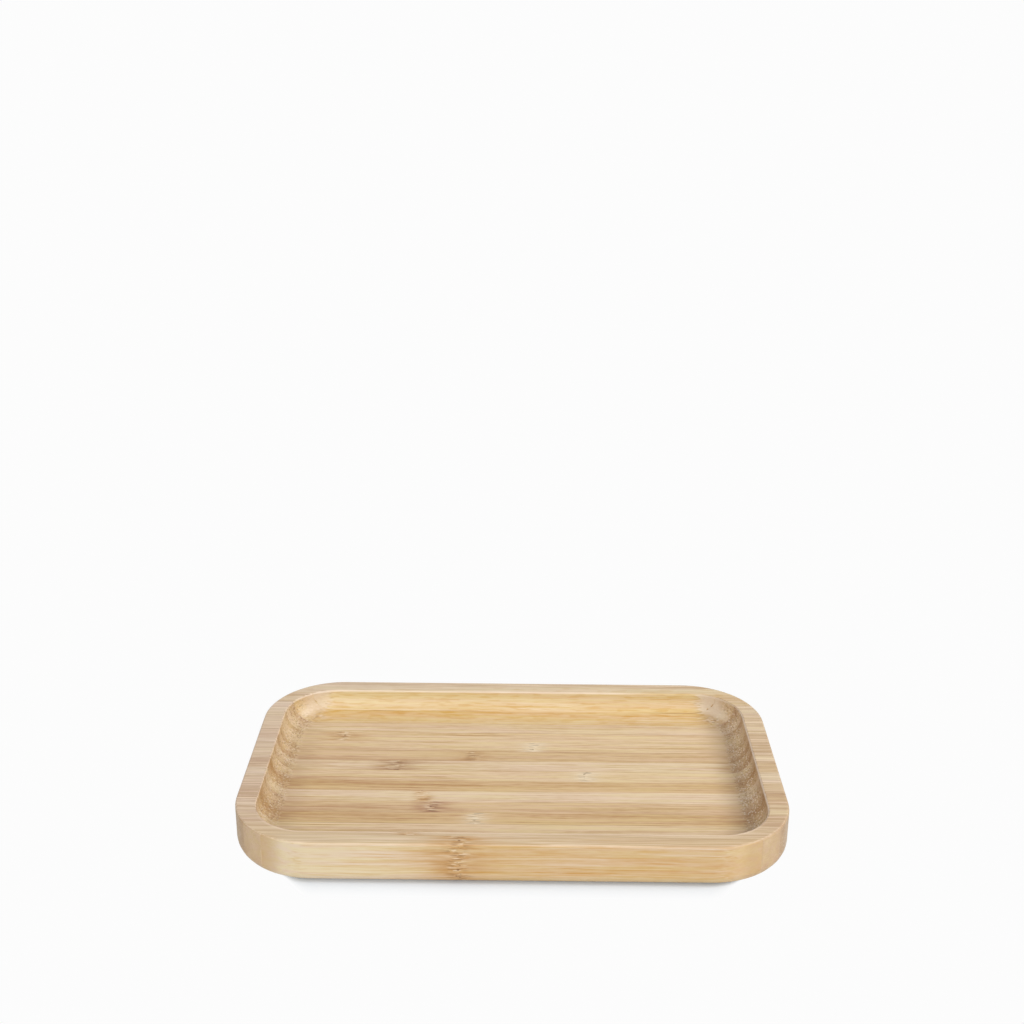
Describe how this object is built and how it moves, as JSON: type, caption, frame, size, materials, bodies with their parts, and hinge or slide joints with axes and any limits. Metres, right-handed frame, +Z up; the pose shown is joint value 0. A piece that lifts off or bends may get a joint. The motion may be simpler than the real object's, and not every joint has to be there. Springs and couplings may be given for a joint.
{
  "type": "bamboo tray",
  "caption": "Low rectangular tray with rounded corners and a shallow coved pocket, routed from a panel of upright bamboo strips glued side by side; holds small things on a table.",
  "frame": {"origin": "middle of the flat underside, on the surface that the tray stands on", "axes": "+X along the strips and the tray's long side, +Y to the back edge, +Z up out of the pocket"},
  "size_m": [0.2, 0.12, 0.0165],
  "materials": {
    "bamboo_pale": "satin clear lacquer over pale bamboo, fine straight fibres",
    "bamboo_straw": "satin clear lacquer over straw-coloured bamboo, fine straight fibres",
    "bamboo_tan": "satin clear lacquer over tan bamboo, fine straight fibres",
    "bamboo_honey": "satin clear lacquer over honey-coloured bamboo, fine straight fibres"
  },
  "bodies": {
    "root": {"front_edge_strip": "bamboo_honey", "inner_strip_01": "bamboo_straw", "inner_strip_02": "bamboo_tan", "inner_strip_03": "bamboo_straw", "inner_strip_04": "bamboo_honey", "inner_strip_05": "bamboo_tan", "inner_strip_06": "bamboo_pale", "inner_strip_07": "bamboo_honey", "inner_strip_08": "bamboo_straw", "inner_strip_09": "bamboo_pale", "inner_strip_10": "bamboo_tan", "inner_strip_11": "bamboo_straw", "inner_strip_12": "bamboo_straw", "inner_strip_13": "bamboo_pale", "inner_strip_14": "bamboo_honey", "inner_strip_15": "bamboo_honey", "back_edge_strip": "bamboo_tan"}
  },
  "joints": []
}
